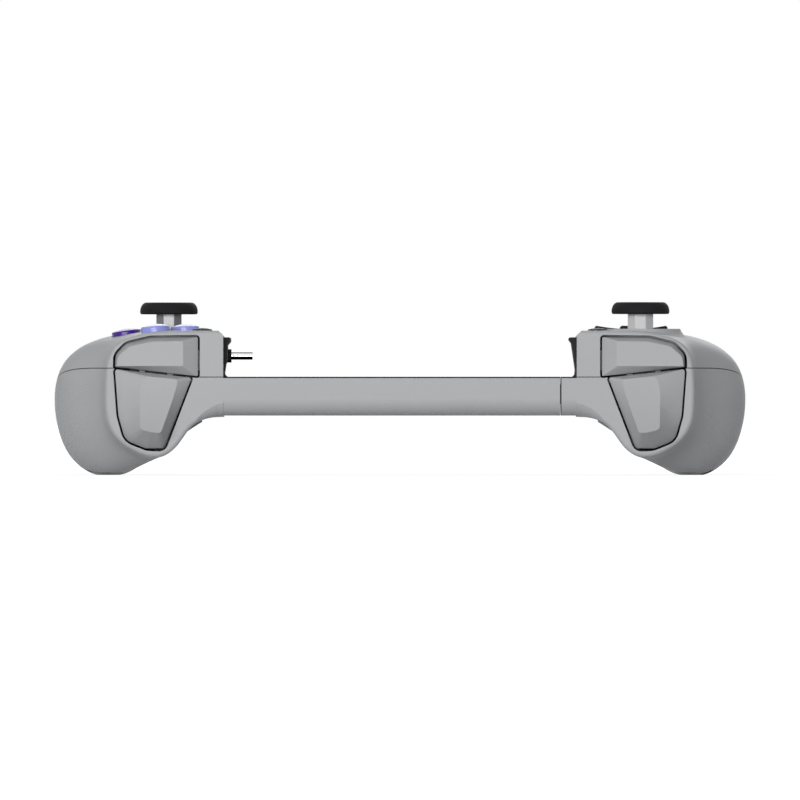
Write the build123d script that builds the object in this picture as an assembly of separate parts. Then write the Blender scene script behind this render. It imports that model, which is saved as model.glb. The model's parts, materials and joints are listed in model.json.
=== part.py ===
from build123d import *
import math
import os

# A stretching mobile game controller, in millimetres. Two hand grips stand on a surface, face up,
# joined by a telescoping bridge on which a phone rests. The shoulder triggers face -Y, the hands'
# ends point to +Y. The module at -X is the one for the right hand and carries the phone's plug,
# and the module at +X is for the left hand and slides out along +X. Each module is made in outboard
# coordinates, with x growing away from the middle, and the right one is then mirrored.

# Overall sizes
overall_width = 218.0
overall_depth = 103.0
phone_gap = 111.0
face_height = 45.4
trigger_reach = 8.5
wall = 2.0
parting_gap = 0.2
running_gap = 0.45
fit_gap = 0.3
overrun = 5.0
slide_travel = 75.0

# Bridge and phone rest
bridge_floor = 18.7
bridge_top = 30.9
pad_thickness = 0.4
bridge_front_inset = 0.0
bridge_length_back = 60.0
bridge_corner = 5.0
runout_crossing = 0.2
bridge_wall = 2.0
sleeve_end = 50.3
slide_end_gap = 0.4
top_plate_thickness = 1.6
plate_ledge_width = 1.2
plate_ledge_height = 1.0

# Telescoping tongue, its guide rods, springs and ribbon
tongue_width = 42.0
tongue_height = 6.2
tongue_wall = 1.4
tongue_bottom = 22.3
spring_closed_length = 13.3
tongue_root_depth = 1.5
lug_length = 4.0
lug_height = 4.4
rod_radius = 1.0
rod_in_from_wall = 2.4
spring_coil_radius = 1.75
spring_wire_radius = 0.3
spring_turns = 15
ribbon_width = 10.0
ribbon_thickness = 0.3
ribbon_fold_out = 60.5
ribbon_rise = 2.6

# Phone brackets on the inner walls
bracket_margin = 4.0
lip_height = 43.3
plug_height = 37.5
plug_width = 8.25
plug_thickness = 2.4
plug_length = 6.65
plug_shell = 0.35
plug_tongue_thickness = 0.7
overmold_radius = 2.55
overmold_length = 14.0
overmold_neck_length = 1.3
overmold_neck_width = 10.6
overmold_neck_height = 4.2
overmold_behind_wall = 0.25
plug_pin_radius = 0.7
plug_pin_overhang = 2.5

# Places of the controls, from the inner wall outwards and from the front rim backwards
upper_row_back = 23.0
lower_row_back = 56.0
stick_right_out = 17.5
stick_left_out = 20.2
dpad_out = 17.5
buttons_out = 21.6
small_button_out = 6.7
small_button_front_back = 9.0
small_button_rear_back = 38.0

# Thumbsticks
stick_pivot_height = 35.0
well_rim_height = 0.6
well_radius = 12.0
well_opening_radius = 8.2
well_depth = 3.8
well_flare_radius = 14.8
well_skirt_thickness = 0.8
well_flare_drop = 2.7
dome_radius = 10.0
dome_thickness = 1.0
dome_half_angle = 62.0
post_across_flats = 8.0
post_top = 50.65
post_sides = 8
post_corner = 0.6
post_root_depth = 1.5
tenon_radius = 2.9
tenon_height = 1.8
cap_radius = 9.15
cap_thickness = 3.75
cap_dish = 0.9
cap_socket_gap = 0.1
module_half = 8.0
module_wall = 0.8
module_floor = 1.0
module_wall_top = 33.4
trunnion_radius = 0.9
trunnion_gap = 0.15
ear_clearance = 1.35
ear_half_width = 2.7
ear_rise = 1.6
gimbal_half = 6.0
gimbal_opening_half = 4.0
gimbal_thickness = 2.4
rocker_half = 3.5
rocker_thickness = 3.0
shaft_radius = 1.3
shaft_gap = 0.3
shaft_below_pivot = 3.0

# Face buttons, small buttons and direction pad
button_radius = 4.45
button_spacing = 9.4
button_top = 47.5
button_travel = 1.2
button_flange_radius = 5.1
button_flange_thickness = 1.0
button_flange_drop = 1.8
button_stem_radius = 2.5
button_gap = 0.25
button_dome = 0.4
button_edge = 0.5
outer_button_tilt = 8.0
middle_button_tilt = 4.5
inner_button_tilt = 2.0
outer_button_drop = 1.4
stem_bottom = 34.6
membrane_thickness = 1.0
membrane_edge = 0.5
membrane_dome_radius = 3.4
dome_clearance = 0.5
small_button_radius = 3.0
small_button_top = 46.25
small_button_rise = 0.45
small_button_stem = 1.4
small_button_lip = 0.75
switch_side = 3.6
switch_height = 3.5
dpad_span = 23.0
dpad_arm = 7.0
dpad_top = 47.1
dpad_dish = 1.2
dpad_pivot_height = 43.2
dpad_gap = 0.5
dpad_corner = 1.0
dpad_edge = 0.5
dpad_flange_radius = 10.6
dpad_flange_thickness = 1.0
dpad_flange_top = 41.4
dpad_socket_radius = 3.9
dpad_plunger_out = 8.5
dpad_plunger_radius = 2.0
dpad_spider_radius = 1.0
dpad_spider_length = 6.0
dpad_socket_rise = 1.7
dpad_post_radius = 1.5

# Triggers and bumpers
rim_radius = 1.2
edge_back = 0.8
skin = 1.5
skirt_depth = 1.6
bumper_reach = 2.5
trigger_top_reach = 2.2
trigger_pivot_back = 4.5
trigger_pivot_height = 37.0
trigger_sweep_radius = 29.0
trigger_tube_radius = 2.0
trigger_tube_bore = 1.15
trigger_pin_radius = 0.9
trigger_tube_out = 14.7
trigger_tube_length = 12.8
trigger_arm_width = 2.0
trigger_arm_thickness = 2.0
trigger_arm_inset = 1.0
trigger_deep_hood_top = 12.25
trigger_ear_bottom = 28.5
trigger_ear_top = 31.0
trigger_hollow = 0.9
trigger_hood_depth = 7.5
trigger_pocket_depth = 16.0
bumper_pocket_depth = 5.0
bracket_out = 10.5
bracket_ear_thickness = 1.4
bracket_ear_bottom = 35.2
bracket_ear_top = 38.8
bracket_ear_margin = 0.7
bracket_plate_back = 8.2
bracket_plate_thickness = 1.2
bracket_plate_top = 39.8
bracket_plate_bottom = 31.4
bracket_foot_width = 1.8
bracket_foot_length = 4.3
torsion_wire_radius = 0.3
torsion_turns = 4
bumper_hinge_out = 6.0
bumper_hinge_back = 4.2
bumper_tube_radius = 1.7
bumper_tube_bore = 1.0
bumper_pin_radius = 0.8
bumper_tube_bottom = 32.8
bumper_tube_top = 39.4
bumper_switch_width = 6.0
bumper_switch_bottom = 39.2
bumper_switch_top = 40.2
bumper_switch_back = 2.3

# Board, columns, screws, back button and sockets
board_bottom = 29.0
board_thickness = 1.2
board_front_back = 11.0
board_back_back = 70.0
board_tab_width = 6.5
board_tab_length = 4.5
board_clearance = 0.4
column_radius = 3.2
column_hole = 1.1
counterbore_radius = 2.7
screw_seat_height = 21.0
screw_head_radius = 2.4
screw_head_thickness = 1.6
screw_shank_radius = 1.0
screw_length = 9.5
screw_slot_depth = 0.7
screw_slot_width = 0.6
back_button_out = 10.4
back_button_back = 26.0
back_button_width = 7.0
back_button_length = 20.0
back_button_tilt = 33.0
back_button_height = 16.1
back_button_thickness = 4.0
back_button_proud = 1.4
back_button_edge = 0.5
back_button_travel = 0.8
jack_out = 28.5
jack_height = 25.0
jack_face_back = 90.5
jack_bore_radius = 1.8
jack_bore_depth = 14.0
jack_barrel_radius = 3.1
jack_barrel_length = 15.5
port_seat_radius = 5.8
socket_boss_depth = 4.0
port_width = 9.0
port_opening = 3.2
port_shell = 0.6
port_length = 8.0
port_corner = 1.5
port_blade_width = 6.0

# Outlines of a grip across X and Z: shares of the grip's width beyond the inner wall, and of the
# height of the control face, clockwise from the inner end of the face
front_outline_shares = [
    (-0.103, 1.004), (0.084, 1.004), (0.271, 1.000), (0.421, 0.987), (0.542, 0.956),
    (0.626, 0.901), (0.671, 0.811), (0.686, 0.661), (0.686, 0.485), (0.664, 0.341),
    (0.607, 0.242), (0.523, 0.172), (0.436, 0.132), (0.355, 0.134), (0.288, 0.181),
    (0.230, 0.264), (0.168, 0.348), (0.084, 0.394), (-0.103, 0.412), (-0.215, 0.485),
    (-0.252, 0.705), (-0.215, 0.925),
]
middle_outline_shares = [
    (-0.103, 1.004), (0.121, 1.004), (0.346, 1.002), (0.533, 0.990), (0.693, 0.957),
    (0.838, 0.889), (0.940, 0.778), (0.9905, 0.610), (0.9935, 0.465), (0.966, 0.287),
    (0.900, 0.126), (0.782, 0.015), (0.641, -0.006), (0.533, 0.040), (0.443, 0.132),
    (0.346, 0.229), (0.243, 0.322), (0.121, 0.392), (-0.103, 0.419), (-0.215, 0.485),
    (-0.252, 0.705), (-0.215, 0.925),
]
heel_outline_shares = [
    (0.252, 0.956), (0.346, 0.991), (0.458, 0.996), (0.589, 0.974), (0.720, 0.921),
    (0.839, 0.833), (0.929, 0.709), (0.978, 0.573), (0.978, 0.430), (0.942, 0.278),
    (0.865, 0.126), (0.753, 0.019), (0.637, -0.004), (0.523, 0.045), (0.428, 0.145),
    (0.346, 0.260), (0.279, 0.379), (0.230, 0.507), (0.200, 0.628), (0.185, 0.727),
    (0.185, 0.824), (0.207, 0.903),
]
# Stations along a grip: share of its length from the front rim, and how far the outline has gone
# from front to middle, and from middle to heel
station_shares = [
    (0.0, 0.0, 0.0), (0.095, 0.15, 0.0), (0.2, 0.62, 0.0), (0.296, 0.95, 0.0),
    (0.413, 1.0, 0.0), (0.561, 1.0, 0.0), (0.646, 1.0, 0.5), (0.741, 1.0, 1.0),
]
tail_centre_shares = (0.682, 0.374)
tail_steps = 5
tail_last_angle = 84.0

# The seam between front and rear shell: level on the front, and its dip along a grip, as shares
# of the grip's length and of the face height
seam_inner = 30.9
seam_outer = 33.7
seam_slope_start_share = 0.17
seam_slope_end_share = 0.61
seam_dip_shares = [
    (0.15, 0.742), (0.235, 0.729), (0.3, 0.7), (0.36, 0.656), (0.455, 0.6), (0.61, 0.54),
    (0.77, 0.495), (1.01, 0.45),
]

# Corners of trigger and bumper: the outline at the rim and the raised pad, both as shares of the
# grip's width and the face height, with the radius of each corner
trigger_edge_shares = [
    (0.639, 0.738), (0.618, 0.41), (0.578, 0.238), (0.45, 0.178), (0.346, 0.172), (0.182, 0.677),
]
trigger_edge_radii = [1.0, 12.0, 5.0, 12.0, 2.6, 0.8]
trigger_pad_shares = [
    (0.456, 0.687), (0.471, 0.50), (0.486, 0.317), (0.42, 0.296), (0.363, 0.289), (0.271, 0.665),
]
trigger_pad_radii = [0.9, 8.0, 1.8, 3.0, 1.2, 0.9]
bumper_edge_shares = [
    (0.146, 0.681), (0.639, 0.745), (0.637, 0.835), (0.572, 0.915), (0.43, 0.955), (0.146, 0.960),
]
bumper_edge_radii = [0.5, 0.3, 4.5, 6.0, 14.0, 0.8]
bumper_pad_shares = [
    (0.234, 0.753), (0.628, 0.750), (0.622, 0.820), (0.550, 0.893), (0.42, 0.926), (0.234, 0.930),
]
bumper_pad_radii = [0.5, 0.2, 3.5, 5.0, 12.0, 0.5]
round_limit_share = 0.93

# Profiles of the phone brackets: shares of the lip's reach out of the wall, and of the height of
# the bracket above the phone rest
dock_lip_reach = 2.2
dock_foot_length = 10.5
dock_profile_shares = [
    (0.48, 0.0), (0.50, 0.004), (0.18, 0.056), (0.14, 0.105), (0.34, 0.33), (0.57, 0.42), (0.57, 0.80),
    (1.0, 0.89), (1.0, 0.975), (0.86, 1.0), (0.0, 1.0),
]
end_lip_reach = 2.4
end_profile_shares = [
    (0.5, 0.0), (0.48, 0.004), (0.21, 0.056), (0.15, 0.185), (0.66, 0.855), (0.98, 0.935), (0.98, 0.975),
    (0.84, 1.0), (0.0, 1.0),
]

# How the bridge's rounded lower front edge runs out along a module's underside: shares of the
# grip's width, of the face height and of the bridge's corner radius
runout_shares = [
    (-0.03, 0.412, 1.0), (0.03, 0.410, 0.95), (0.084, 0.394, 0.8), (0.13, 0.372, 0.6),
    (0.185, 0.333, 0.24),
]

# Profile of a stick cap: shares of its radius and of its thickness
cap_profile_shares = [
    (0.94, 0.0), (0.985, 0.07), (1.0, 0.2), (0.992, 0.42), (0.96, 0.66), (0.90, 0.86),
    (0.83, 0.96), (0.76, 1.0),
]

# Outer slope of a thumbstick's well: shares of the flare's width and of its drop
well_flare_shares = [(0.18, 0.0), (0.32, 0.333), (0.57, 0.667), (1.0, 1.0)]

# Worked out from the sizes above
half_gap = phone_gap / 2
half_width = overall_width / 2
grip_width = half_width - half_gap
front_y = trigger_reach - overall_depth / 2
grip_length = overall_depth - trigger_reach
back_y = front_y + grip_length
board_top = board_bottom + board_thickness
membrane_top = board_top + membrane_thickness
membrane_dome_top = stem_bottom - button_travel - dome_clearance
plate_top = bridge_top - pad_thickness
plate_bottom = plate_top - top_plate_thickness
bridge_y0 = front_y + bridge_front_inset
bridge_y1 = bridge_y0 + bridge_length_back
bridge_mid_y = (bridge_y0 + bridge_y1) / 2
channel_y0 = bridge_y0 + bridge_wall
channel_y1 = bridge_y1 - bridge_wall
channel_x0 = wall - half_gap
channel_x1 = sleeve_end - bridge_wall
tongue_y0 = bridge_mid_y - tongue_width / 2
tongue_y1 = bridge_mid_y + tongue_width / 2
tongue_top = tongue_bottom + tongue_height
tongue_mid_z = (tongue_bottom + tongue_top) / 2
tongue_x0 = channel_x1 - spring_closed_length - slide_travel - lug_length
tongue_x1 = half_gap + tongue_root_depth
rod_ys = [channel_y0 + rod_in_from_wall, channel_y1 - rod_in_from_wall]
trigger_pivot_y = front_y + trigger_pivot_back
trigger_edge_y = front_y + edge_back
upper_y = front_y + upper_row_back
lower_y = front_y + lower_row_back
small_front_y = front_y + small_button_front_back
small_rear_y = front_y + small_button_rear_back
face_underside = face_height - wall
stick_places = {
    "right": (half_gap + stick_right_out, lower_y),
    "left": (half_gap + stick_left_out, upper_y),
}
dpad_place = (half_gap + dpad_out, lower_y)
buttons_place = (half_gap + buttons_out, upper_y)
small_button_places = [
    (half_gap + small_button_out, small_front_y),
    (half_gap + small_button_out, small_rear_y),
]
face_buttons = {
    "outer": (button_spacing, 0, outer_button_tilt, outer_button_drop),
    "front": (0, -button_spacing, middle_button_tilt, 0),
    "back": (0, button_spacing, middle_button_tilt, 0),
    "inner": (-button_spacing, 0, inner_button_tilt, 0),
}
# Columns that hold board and shells: shares of the grip's width and of its length
column_shares = [(0.084, 0.497), (0.61, 0.72), (0.757, 0.328)]
columns = [(half_gap + u * grip_width, front_y + v * grip_length) for u, v in column_shares]
parts = {}
pins = {"right": [], "left": []}


# Small makers

def block(x0, x1, y0, y1, z0, z1):
    return Pos((x0 + x1) / 2, (y0 + y1) / 2, (z0 + z1) / 2) * Box(x1 - x0, y1 - y0, z1 - z0)


def rod_z(x, y, z0, z1, radius):
    return Pos(x, y, (z0 + z1) / 2) * Cylinder(radius, z1 - z0)


def rod_y(x, z, y0, y1, radius):
    return Pos(x, (y0 + y1) / 2, z) * Rot(90, 0, 0) * Cylinder(radius, y1 - y0)


def rod_x(y, z, x0, x1, radius):
    return Pos((x0 + x1) / 2, y, z) * Rot(0, 90, 0) * Cylinder(radius, x1 - x0)


def prism_y(points, y0, y1):
    corners = [(x, y0, z) for x, z in points]
    return extrude(make_face(Polyline(*corners, close=True)), amount=y1 - y0, dir=(0, 1, 0))


def lathe(points, x, y):
    face = make_face(Polyline(*[(r, 0, z) for r, z in points], close=True))
    return Pos(x, y, 0) * revolve(face, axis=Axis.Z)


def place(side, solid):
    return solid if side == "left" else mirror(solid, about=Plane.YZ)


def from_shares(shares):
    return [(half_gap + u * grip_width, v * face_height) for u, v in shares]


def blend(first, second, share):
    return [
        (a[0] + (b[0] - a[0]) * share, a[1] + (b[1] - a[1]) * share)
        for a, b in zip(first, second)
    ]


# Grip body

def inset_outline(points, distance):
    inner = []
    for i, (u, z) in enumerate(points):
        before = points[i - 1]
        after = points[(i + 1) % len(points)]
        du = after[0] - before[0]
        dz = after[1] - before[1]
        length = math.hypot(du, dz)
        inner.append((u + dz / length * distance, z - du / length * distance))
    return inner


def grip_stations():
    front = from_shares(front_outline_shares)
    middle = from_shares(middle_outline_shares)
    heel = from_shares(heel_outline_shares)
    stations = []
    for along, to_middle, to_heel in station_shares:
        outline = blend(blend(front, middle, to_middle), heel, to_heel)
        stations.append((front_y + along * grip_length, outline))
    heel_y = stations[-1][0]
    centre = from_shares([tail_centre_shares])[0]
    reach = (back_y - heel_y) / math.sin(math.radians(tail_last_angle))
    for step in range(tail_steps):
        angle = math.radians(tail_last_angle * (step + 1) / tail_steps)
        outline = blend([centre] * len(heel), heel, math.cos(angle))
        stations.append((heel_y + reach * math.sin(angle), outline))
    return stations


def loft_through(stations):
    wires = []
    for y, outline in stations:
        wires.append(Wire([Spline(*[(u, y, z) for u, z in outline], periodic=True)]))
    return Part(Solid.make_loft(wires).wrapped)


def grip_inside(distance):
    stations = [(y, inset_outline(outline, distance)) for y, outline in grip_stations()[:-1]]
    stations[0] = (front_y + distance, stations[0][1])
    inside = loft_through(stations)
    return inside - block(-half_width, half_gap + distance, front_y, back_y, 0, 2 * face_height)


def grip_outside():
    body = loft_through(grip_stations())
    body -= block(-half_width, half_gap, front_y - overrun, back_y + overrun, -overrun,
                  2 * face_height)
    body -= block(0, 2 * half_width, front_y - overrun, back_y + overrun, face_height,
                  2 * face_height)
    body -= block(0, 2 * half_width, front_y - overrun, back_y + overrun, -face_height, 0)
    corner = wall - fit_gap
    body -= prism_y([(half_gap - overrun, face_height - corner - overrun),
                     (half_gap - overrun, face_height + overrun),
                     (half_gap + corner + overrun, face_height + overrun)],
                    front_y - overrun, back_y + overrun)
    rim = [e for e in body.edges() if e.bounding_box().max.Y < front_y + fit_gap]
    rim = [e for e in rim if e.bounding_box().max.X > half_gap + wall]
    return fillet(rim, rim_radius) - bridge_runout()


def bridge_runout():
    sections = []
    for out, up, size in runout_shares:
        x = half_gap + out * grip_width
        z = up * face_height
        radius = size * bridge_corner
        cut_back = radius * (1 - math.sqrt(1 / 2))
        y0 = front_y - runout_crossing
        z0 = z - runout_crossing
        arc = ThreePointArc((x, y0, z + radius), (x, front_y + cut_back, z + cut_back),
                            (x, front_y + radius, z0))
        rest = Polyline((x, front_y + radius, z0), (x, front_y + radius, z0 - overrun),
                        (x, y0 - overrun, z0 - overrun), (x, y0 - overrun, z + radius),
                        (x, y0, z + radius))
        sections.append(make_face([arc, rest]).face())
    return loft(sections, ruled=True)


def above_seam(drop):
    inner = seam_inner - drop
    outer = seam_outer - drop
    top = face_height + overrun
    x0 = half_gap - overrun
    x1 = half_width + overrun
    slope_start = half_gap + seam_slope_start_share * grip_width
    slope_end = half_gap + seam_slope_end_share * grip_width
    level = prism_y([(x0, inner), (slope_start, inner), (slope_end, outer), (x1, outer),
                     (x1, top), (x0, top)], front_y - overrun, back_y + overrun)
    dip = [(front_y + v * grip_length, w * face_height - drop) for v, w in seam_dip_shares]
    curve = Spline(*[(x0, y, z) for y, z in dip])
    closing = Polyline((x0, dip[-1][0], dip[-1][1]), (x0, dip[-1][0], top),
                       (x0, dip[0][0], top), (x0, dip[0][0], dip[0][1]))
    return level + extrude(make_face([curve, closing]), amount=x1 - x0, dir=(1, 0, 0))


# Trigger and bumper outlines

def inset_corners(points, distance):
    inner = []
    count = len(points)
    for i in range(count):
        a, b, c = points[i - 1], points[i], points[(i + 1) % count]
        ab = (b[0] - a[0], b[1] - a[1])
        bc = (c[0] - b[0], c[1] - b[1])
        ab_length = math.hypot(*ab)
        bc_length = math.hypot(*bc)
        n1 = (ab[1] / ab_length, -ab[0] / ab_length)
        n2 = (bc[1] / bc_length, -bc[0] / bc_length)
        turn = n1[0] * n2[0] + n1[1] * n2[1]
        inner.append((b[0] + distance * (n1[0] + n2[0]) / (1 + turn),
                      b[1] + distance * (n1[1] + n2[1]) / (1 + turn)))
    return inner


def rounded_wire(points, radii, distance, depth):
    # depth gives the Y of each corner from its height, so the outline may lie in a tilted plane
    flat = inset_corners(points, distance)
    corners = [(u, depth(z), z) for u, z in flat]
    rounds = []
    for i, radius in enumerate(radii):
        sides = (math.dist(flat[i - 1], flat[i]), math.dist(flat[i], flat[(i + 1) % len(flat)]))
        rounds.append(min(max(radius - distance, radius / 5), min(sides) * round_limit_share))
    return Wire(FilletPolyline(*corners, radius=rounds, close=True).edges())


def raised_shell(edge_points, edge_radii, pad_points, pad_radii, pad_depth, distance, skirt):
    def edge_depth(z):
        return trigger_edge_y + distance

    def moved_pad_depth(z):
        return pad_depth(z) + distance

    edge_wire = rounded_wire(edge_points, edge_radii, distance, edge_depth)
    pad_wire = rounded_wire(pad_points, pad_radii, distance, moved_pad_depth)
    raised = Part(Solid.make_loft([pad_wire, edge_wire], ruled=True).wrapped)
    back = extrude(Face(edge_wire), amount=skirt, dir=(0, 1, 0))
    return raised + back


trigger_edge = from_shares(trigger_edge_shares)
trigger_pad = from_shares(trigger_pad_shares)
bumper_edge = from_shares(bumper_edge_shares[::-1])
bumper_pad = from_shares(bumper_pad_shares[::-1])


def trigger_pad_depth(z):
    top_z = trigger_pad[0][1]
    low_z = trigger_pad[-2][1]
    share = (top_z - z) / (top_z - low_z)
    return front_y - trigger_top_reach - (trigger_reach - trigger_top_reach) * share


def bumper_pad_depth(z):
    return front_y - bumper_reach


def trigger_solid(distance, skirt):
    return raised_shell(trigger_edge, trigger_edge_radii, trigger_pad, trigger_pad_radii,
                        trigger_pad_depth, distance, skirt)


def bumper_solid(distance, skirt):
    return raised_shell(bumper_edge, bumper_edge_radii[::-1], bumper_pad, bumper_pad_radii[::-1],
                        bumper_pad_depth, distance, skirt)


def pocket(points, radii, depth):
    wire = rounded_wire(points, radii, -running_gap, lambda z: front_y - overrun)
    return extrude(Face(wire), amount=overrun + depth, dir=(0, 1, 0))


def pockets():
    return (pocket(trigger_edge, trigger_edge_radii, trigger_pocket_depth)
            + pocket(bumper_edge, bumper_edge_radii[::-1], bumper_pocket_depth))


# Controls' holes in the control face

def well_ring(x, y):
    rim = face_height + well_rim_height
    skirt_z = rim - well_depth - well_skirt_thickness
    flare = well_flare_radius - well_radius
    points = [(well_opening_radius, rim - well_depth), (well_radius, rim)]
    for out, down in well_flare_shares:
        points.append((well_radius + flare * out, rim - well_flare_drop * down))
    points += [(well_flare_radius, skirt_z - well_rim_height), (well_opening_radius, skirt_z)]
    return lathe(points, x, y)


def button_axis(name):
    out, along, tilt, drop = face_buttons[name]
    x = buttons_place[0] + out
    y = buttons_place[1] + along
    return Pos(x, y, button_top - drop) * Rot(0, tilt, 0)


def button_hole(name):
    depth = 2 * wall + overrun
    return button_axis(name) * Pos(0, 0, -depth / 2) * Cylinder(button_radius + button_gap, depth)


def dpad_cross(gap, z0, z1):
    x, y = dpad_place
    reach = dpad_span / 2 + gap
    half = dpad_arm / 2 + gap
    return (block(x - reach, x + reach, y - half, y + half, z0, z1)
            + block(x - half, x + half, y - reach, y + reach, z0, z1))


# Shells

def jack_axis_place(side):
    return half_gap + jack_out, jack_height


def front_shell(side, hollow_body, column_room):
    shell = hollow_body & above_seam(0)
    stick_x, stick_y = stick_places[side]
    shell -= rod_z(stick_x, stick_y, face_underside - overrun, face_height + overrun,
                   (well_radius + well_flare_radius) / 2)
    shell += well_ring(stick_x, stick_y)
    if side == "right":
        for name in face_buttons:
            shell -= button_hole(name)
    else:
        shell -= dpad_cross(dpad_gap, face_underside - wall, face_height + overrun)
    for x, y in small_button_places:
        shell -= rod_z(x, y, face_underside - wall, face_height + overrun,
                       small_button_radius + button_gap)
    for x, y in columns:
        shell += rod_z(x, y, board_top + parting_gap, face_height, column_radius) & column_room
        shell -= rod_z(x, y, board_top - wall, screw_seat_height + screw_length + wall,
                       column_hole)
    x, z = jack_axis_place(side)
    seat_y = front_y + jack_face_back
    if side == "left":
        shell -= rod_y(x, z, seat_y - 2 * overrun, seat_y + overrun,
                       jack_barrel_radius + parting_gap)
    else:
        shell -= port_block(parting_gap)
    return shell - bridge_section(half_gap - overrun, half_gap + wall + parting_gap,
                                  plate_top + parting_gap)


def rear_shell(side, hollow_body, column_room):
    shell = hollow_body - above_seam(parting_gap)
    for x, y in columns:
        shell += rod_z(x, y, 0, board_bottom, column_radius + wall / 2) & column_room
        shell -= rod_z(x, y, 0, screw_seat_height, counterbore_radius)
        shell -= rod_z(x, y, 0, board_bottom + wall, column_hole)
    return shell - back_button_block(button_gap, overrun, back_button_travel + button_gap)


def back_button_block(gap, proud, deeper):
    x = half_gap + back_button_out
    y0 = front_y + back_button_back
    place_on_wall = Pos(x, y0 + back_button_length / 2, back_button_height)
    width = back_button_width + 2 * gap
    length = back_button_length + 2 * gap
    height = back_button_thickness + proud + deeper
    core = Pos(0, 0, (back_button_thickness + deeper - proud) / 2) * Box(width, length, height)
    return place_on_wall * Rot(0, back_button_tilt, 0) * core


def port_block(gap):
    x, z = jack_axis_place("right")
    y1 = front_y + jack_face_back
    width = port_width + 2 * port_shell + 2 * gap
    height = port_opening + 2 * port_shell + 2 * gap
    length = port_length + (overrun if gap else 0)
    return block(x - width / 2, x + width / 2, y1 - length, y1 + (overrun if gap else 0),
                 z - height / 2, z + height / 2)


def bridge_section(x0, x1, top):
    blank = block(x0, x1, bridge_y0, bridge_y1, bridge_floor, top)
    low = [e for e in blank.edges().filter_by(Axis.X) if e.center().Z < bridge_floor + fit_gap]
    return fillet(low, bridge_corner)


def tongue_space(x0, x1, gap):
    return block(x0, x1, tongue_y0 - gap, tongue_y1 + gap, tongue_bottom - gap, tongue_top + gap)


def bridge_channel():
    # already at its real place, running from the right module towards +X
    channel = bridge_section(-half_gap - wall, sleeve_end, plate_top)
    inside = block(channel_x0, channel_x1, channel_y0, channel_y1, bridge_floor + bridge_wall,
                   plate_top + overrun)
    channel -= inside
    for y0, y1 in ((channel_y0, channel_y0 + plate_ledge_width),
                   (channel_y1 - plate_ledge_width, channel_y1)):
        channel += block(channel_x0, channel_x1, y0, y1, plate_bottom - plate_ledge_height,
                         plate_bottom)
    channel -= tongue_space(channel_x1 - overrun, sleeve_end + overrun, fit_gap)
    for y in rod_ys:
        channel -= rod_x(y, tongue_mid_z, channel_x0 - wall / 2, channel_x1 + wall / 2, rod_radius)
    slot = block(-half_gap - 2 * wall, channel_x0 + overrun,
                 bridge_mid_y - ribbon_width / 2 - fit_gap, bridge_mid_y + ribbon_width / 2 + fit_gap,
                 bridge_floor + bridge_wall, tongue_bottom)
    return channel, slot


# Thumbstick mechanism

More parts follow.
